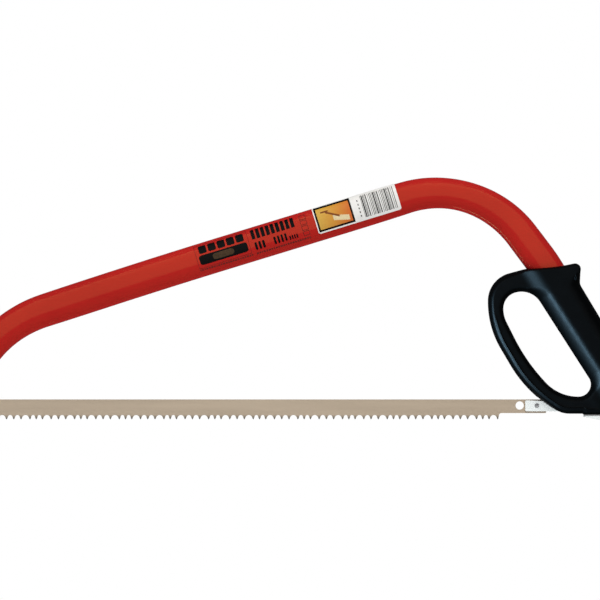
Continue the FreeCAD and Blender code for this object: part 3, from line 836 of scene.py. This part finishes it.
def inward_rings(loop, radii, sign, extra=()):
    """Points offset from a loop into the material, where the edge rounding bends."""
    ways = np.roll(loop, -1, axis=0) - np.roll(loop, 1, axis=0)
    ways = ways / np.linalg.norm(ways, axis=1)[:, None]
    normals = sign * np.column_stack([-ways[:, 1], ways[:, 0]])
    rings = []
    for number in range(1, RING_TURNS + 1):
        depth = radii * (1.0 - math.cos(math.radians(90.0 * number / RING_TURNS)))
        rings.append((loop + normals * depth[:, None], depth))
    for value in extra:
        depth = np.full(len(loop), value)
        rings.append((loop + normals * value, depth))
    return rings


def thin_out(points, spacing):
    """Points in order, without any that lie closer than spacing to one before."""
    cells = {}
    kept = []
    for index, (x, z) in enumerate(points):
        column = math.floor(x / spacing)
        level = math.floor(z / spacing)
        around = [(column + i, level + j) for i in (-1, 0, 1) for j in (-1, 0, 1)]
        near = [cells[key] for key in around if key in cells]
        if any((x - points[other][0]) ** 2 + (z - points[other][1]) ** 2 < spacing ** 2 for other in near):
            continue
        cells[(column, level)] = index
        kept.append(index)
    return kept


def handle_height(points, outer, outer_radii, opening, inner_radii):
    """Half thickness of the handle at points of the X-Z plane."""
    across = across_grip(points)
    from_outer, outer_index = to_loop(points, outer)
    from_opening, opening_index = to_loop(points, opening)
    outer_share = np.clip(from_outer / outer_radii[outer_index], 0.0, 1.0)
    inner_share = np.clip(from_opening / inner_radii[opening_index], 0.0, 1.0)
    round_outer = np.sqrt(1.0 - (1.0 - outer_share) ** 2)
    round_inner = np.sqrt(1.0 - (1.0 - inner_share) ** 2)
    half = GUARD_HALF + GRIP_EXTRA * smooth_step((across - SWELL_START) / SWELL_REACH)
    on_guard = smooth_step((-6.0 - across) / 8.0) * smooth_step((26.0 - points[:, 1]) / 12.0)
    bead = BEAD_HIGH * np.exp(-((from_outer - BEAD_AT) / BEAD_HALF) ** 2)
    dish = DISH_DEEP * smooth_step((from_outer - BEAD_AT) / DISH_REACH)
    return half * round_outer * round_inner + on_guard * (bead - dish) * round_inner


def edge_rings(home, radii, other, sign, extra=()):
    """The offset rings of one loop, without the points that another edge has overtaken."""
    kept = []
    for points, depth in inward_rings(home, radii, sign, extra):
        own, _ = to_loop(points, home)
        far, _ = to_loop(points, other)
        kept.append(points[(own > NOT_OVERTAKEN * depth) & (far > CLEAR_OF_OTHER)])
    return np.vstack(kept)


def face_grid(outer, opening, crowd):
    """A staggered grid over the flat of the handle, clear of the points already there."""
    columns, rows = np.meshgrid(np.arange(-98.0, 58.0, FACE_STEP), np.arange(-70.0, 74.0, FACE_STEP))
    columns = columns + (np.arange(len(columns)) % 2)[:, None] * FACE_STEP / 2.0
    grid = np.column_stack([columns.ravel(), rows.ravel()])
    grid = grid[inside(grid, outer) & ~inside(grid, opening)]
    tree = KDTree(len(crowd))
    for index, (x, z) in enumerate(crowd):
        tree.insert((x, z, 0.0), index)
    tree.balance()
    gaps = np.array([tree.find((x, z, 0.0))[2] for x, z in grid])
    return grid[gaps > CROWDED * FACE_STEP]


def loop_edges(first, count):
    """Edges that close a run of points."""
    return [(first + number, first + (number + 1) % count) for number in range(count)]


def handle_plan():
    """Points, triangles and half thickness of the handle, and which points lie on its edges."""
    outer = rounded_outline(HANDLE_OUTLINE, OUTLINE_STEP)
    opening = rounded_outline(FINGER_OPENING, OUTLINE_STEP)
    outer_radii = outline_radii(outer)
    inner_radii = opening_radii(opening)
    rings = np.vstack([edge_rings(outer, outer_radii, opening, 1.0, BEAD_RINGS),
                       edge_rings(opening, inner_radii, outer, -1.0)])
    rings = rings[inside(rings, outer) & ~inside(rings, opening)]
    rings = rings[thin_out(rings, CLOSEST)]
    loops = np.vstack([outer, opening])
    grid = face_grid(outer, opening, np.vstack([loops, rings]))
    points = np.vstack([loops, rings, grid])
    edges = loop_edges(0, len(outer)) + loop_edges(len(outer), len(opening))
    flat, _, faces, origins, _, _ = delaunay_2d_cdt([Vector(point) for point in points], edges, [], 1, 1e-6)
    on_edge = np.array([any(index < len(loops) for index in group) for group in origins])
    flat = np.array([tuple(point) for point in flat])
    middles = np.array([flat[list(face)].mean(axis=0) for face in faces])
    solid = inside(middles, outer) & ~inside(middles, opening)
    faces = [face for face, keep in zip(faces, solid) if keep]
    half = np.maximum(handle_height(flat, outer, outer_radii, opening, inner_radii), SHELL_FACE)
    half[on_edge] = SHELL_FACE
    return flat, faces, half, on_edge


CHANNEL_LONG = 240.0


def leg_channel():
    """Room for the tube's rear leg, a little larger than the leg itself."""
    section = oval(TUBE_HIGH + 0.3, TUBE_WIDE + 0.3, TUBE_POWER)
    rings = [station_ring(polar(TAIL, REAR_UP, -10.0), REAR_UP, section)]
    for place, heading, gone in tube_stations():
        if gone < CHANNEL_LONG:
            rings.append(station_ring(place, heading, section))
    return loft("cut_channel", rings, None)


WELL = [(22.2, -80, 0), (51.5, -80, 0), (51.5, -61.6, 4), (22.2, -61.6, 4)]
LINK_SLOT = [(-80, -66.5), (-30, -65.6), (22.2, -66.6), (22.2, -70), (47.2, -70), (47.2, -50), (0, -52.2),
             (-41.5, -53.4), (-42.5, -52), (-80, -52)]
SCREW_SEATS = [((-84.5, 43.0), 6.0), ((-79.5, -4.0), 6.0), ((-52.5, -39.0), 6.0), ((-32.7, 47.9), 10.4),
               ((7.5, -16.5), 10.4)]
HEAD_ROOM = 3.8


def shell_cutters(way):
    """Rooms for the tube's leg, the lever and the link; on the far side also the screw heads."""
    cutters = [
        leg_channel(),
        prism("cut_link", LINK_SLOT, -2.8, 5.2),
        prism("cut_well", rounded_outline(WELL, 1.0), -8.3, 8.3),
        prism("cut_ears", ring_outline(PIVOT, 14.4, 64), -8.3, 8.3),
    ]
    if way > 0:
        for centre, seat in SCREW_SEATS:
            cutters.append(prism("cut_head", ring_outline(centre, HEAD_ROOM), seat, 20.0))
    return cutters


def moulded_shell(name, way, plan, node):
    """One half of the handle; way is -1 for the near side and +1 for the far side."""
    flat, faces, half, on_edge = plan
    points = [(x, way * high, z) for (x, z), high in zip(flat, half)]
    back = {}
    for index, (x, z) in enumerate(flat):
        if on_edge[index]:
            back[index] = index
            continue
        back[index] = len(points)
        points.append((x, way * SHELL_FACE, z))
    rear = [tuple(back[index] for index in reversed(face)) for face in faces]
    shell = mesh_object(name, points, [tuple(face) for face in faces] + rear, PLASTIC)
    carve(shell, shell_cutters(way))
    return place_piece(shell, "frame", "handle", node)


def moulded_handle():
    """Both halves from one plan."""
    plan = handle_plan()
    moulded_shell("near_shell_moulding", -1, plan, "handle_near_shell")
    moulded_shell("far_shell_moulding", 1, plan, "handle_far_shell")


moulded_handle()


# ---------------------------------------------------------------- peened peg end

PEG_PROFILE = [
    (0.0, -2.28),
    (0.55, -2.26),
    (0.95, -2.42),
    (1.45, -2.58),
    (1.85, -2.50),
    (2.1, -2.22),
    (2.15, -1.85),
]
PEG_PLACE = (-52.0, -59.5)


def peened_end():
    """The peg's end, spread over the cheek with a dimple in the middle."""
    rings = []
    for radius, level in PEG_PROFILE:
        rings.append([(x, level, z) for x, z in ring_outline(PEG_PLACE, max(radius, 0.05), 28)])
    return place_piece(loft("peened_peg_end", rings, PIN_STEEL), "link", "peg")


peened_end()


# ---------------------------------------------------------------- studio

def sheet_mesh(name, corners, material):
    """A single flat face, for the studio only."""
    mesh = bpy.data.meshes.new(name)
    mesh.from_pydata(corners, [], [tuple(range(len(corners)))])
    thing = bpy.data.objects.new(name, mesh)
    thing.data.materials.append(material)
    bpy.context.scene.collection.objects.link(thing)
    return thing


def floor_material():
    """Matt pale floor."""
    material, tree, shader = new_material("studio_floor")
    shader.inputs["Base Color"].default_value = (0.86, 0.86, 0.86, 1.0)
    shader.inputs["Roughness"].default_value = 0.9
    shader.inputs["Emission Color"].default_value = (1.0, 1.0, 1.0, 1.0)
    shader.inputs["Emission Strength"].default_value = 0.48
    return material


FLOOR_DROP = 0.80
FLOOR_DEPTH = 5.0
FLOOR_WIDTH = 6.0


def studio_floor():
    """A pale floor below the saw, outside the camera's view and left out of reflections."""
    low = CAD_BOX[0].z - FLOOR_DROP
    corners = [
        (-FLOOR_WIDTH, -FLOOR_DEPTH, low),
        (FLOOR_WIDTH, -FLOOR_DEPTH, low),
        (FLOOR_WIDTH, FLOOR_DEPTH, low),
        (-FLOOR_WIDTH, FLOOR_DEPTH, low),
    ]
    floor = sheet_mesh("studio_floor", corners, floor_material())
    floor.visible_glossy = False
    return floor


def area_light(name, place, target, size, power, tint=(1.0, 1.0, 1.0), diffuse=True, glossy=True):
    """A soft rectangular light aimed at a point, its first side as level along X as it can be."""
    data = bpy.data.lights.new(name, "AREA")
    data.shape = "RECTANGLE"
    data.size, data.size_y = size
    data.energy = power
    data.color = tint
    lamp = bpy.data.objects.new(name, data)
    back = (Vector(place) - Vector(target)).normalized()
    side = (Vector((1.0, 0.0, 0.0)) - back * back.x).normalized()
    lamp.location = place
    lamp.rotation_euler = Matrix((side, back.cross(side), back)).transposed().to_euler()
    lamp.visible_camera = False
    lamp.visible_diffuse = diffuse
    lamp.visible_glossy = glossy
    bpy.context.scene.collection.objects.link(lamp)
    return lamp


def light_only(lamp, names):
    """Keep a lamp off every object except the named pieces and CAD nodes."""
    lit = bpy.data.collections.new(lamp.name + "_lit")
    for name in names:
        lit.objects.link(bpy.data.objects.get(name) or nodes[name])
    lamp.light_linking.receiver_collection = lit


SURROUND = (0.060, 0.064, 0.070)


def white_world():
    """White to the camera; a dimmer cool grey to everything that is lit or reflects."""
    world = bpy.data.worlds.new("white_surround")
    bpy.context.scene.world = world
    world.use_nodes = True
    tree = world.node_tree
    seen = tree.nodes["Background"]
    seen.inputs["Color"].default_value = (1.0, 1.0, 1.0, 1.0)
    lit = tree.nodes.new("ShaderNodeBackground")
    lit.inputs["Color"].default_value = (*SURROUND, 1.0)
    lit.inputs["Strength"].default_value = 1.0
    rays = tree.nodes.new("ShaderNodeLightPath")
    mix = tree.nodes.new("ShaderNodeMixShader")
    tree.links.new(rays.outputs["Is Camera Ray"], mix.inputs["Fac"])
    tree.links.new(lit.outputs["Background"], mix.inputs[1])
    tree.links.new(seen.outputs["Background"], mix.inputs[2])
    tree.links.new(mix.outputs["Shader"], tree.nodes["World Output"].inputs["Surface"])


def studio_lights():
    """A soft key, a wide dim panel to be reflected, a light behind, and three linked to single pieces."""
    area_light("key_light", (-0.30, -1.2, 1.75), (-0.25, 0.0, 0.04), (2.4, 1.4), 48.0,
               (1.0, 0.97, 0.93), glossy=False)
    area_light("front_panel", (-0.27, -3.6, 1.55), (-0.27, 0.0, 0.04), (7.0, 4.3), 62.0, diffuse=False)
    cool = area_light("cool_light", (-1.20, -0.94, -0.50), (-0.03, 0.0, 0.0), (0.6, 0.6), 170.0,
                      (0.42, 0.74, 1.0), diffuse=False)
    light_only(cool, ["near_shell_moulding", "far_shell_moulding"])
    fill = area_light("link_fill", (-0.12, -1.2, -0.35), (-0.04, 0.0, -0.06), (0.7, 0.5), 8.5,
                      (0.93, 0.98, 1.0))
    light_only(fill, ["blade_link", "tension_lever"])
    strip = area_light("low_strip", (-0.62, -0.02, -0.80), (-0.14, 0.0, 0.12), (0.8, 0.09), 1.3,
                       (0.85, 0.9, 1.0), diffuse=False)
    light_only(strip, ["bent_tube"])
    area_light("back_light", (0.3, 1.6, 0.9), (-0.2, 0.0, 0.05), (1.6, 1.0), 16.0, glossy=False)


VIEW_WIDTH = 0.5455
VIEW_CENTRE = (-0.2673, 0.0, 0.0364)
LENS = 200.0
SENSOR = 36.0


def photo_camera():
    """Long lens, square on to the saw's near side; the saw runs out of both sides of the view."""
    data = bpy.data.cameras.new("camera")
    data.lens = LENS
    data.sensor_width = SENSOR
    data.clip_end = 50.0
    camera = bpy.data.objects.new("camera", data)
    distance = VIEW_WIDTH * LENS / SENSOR
    camera.location = (VIEW_CENTRE[0], VIEW_CENTRE[1] - distance, VIEW_CENTRE[2])
    camera.rotation_euler = (math.radians(90), 0, 0)
    bpy.context.scene.collection.objects.link(camera)
    bpy.context.scene.camera = camera


photo_camera()
studio_floor()
white_world()
studio_lights()
bpy.context.scene.view_settings.view_transform = "Standard"
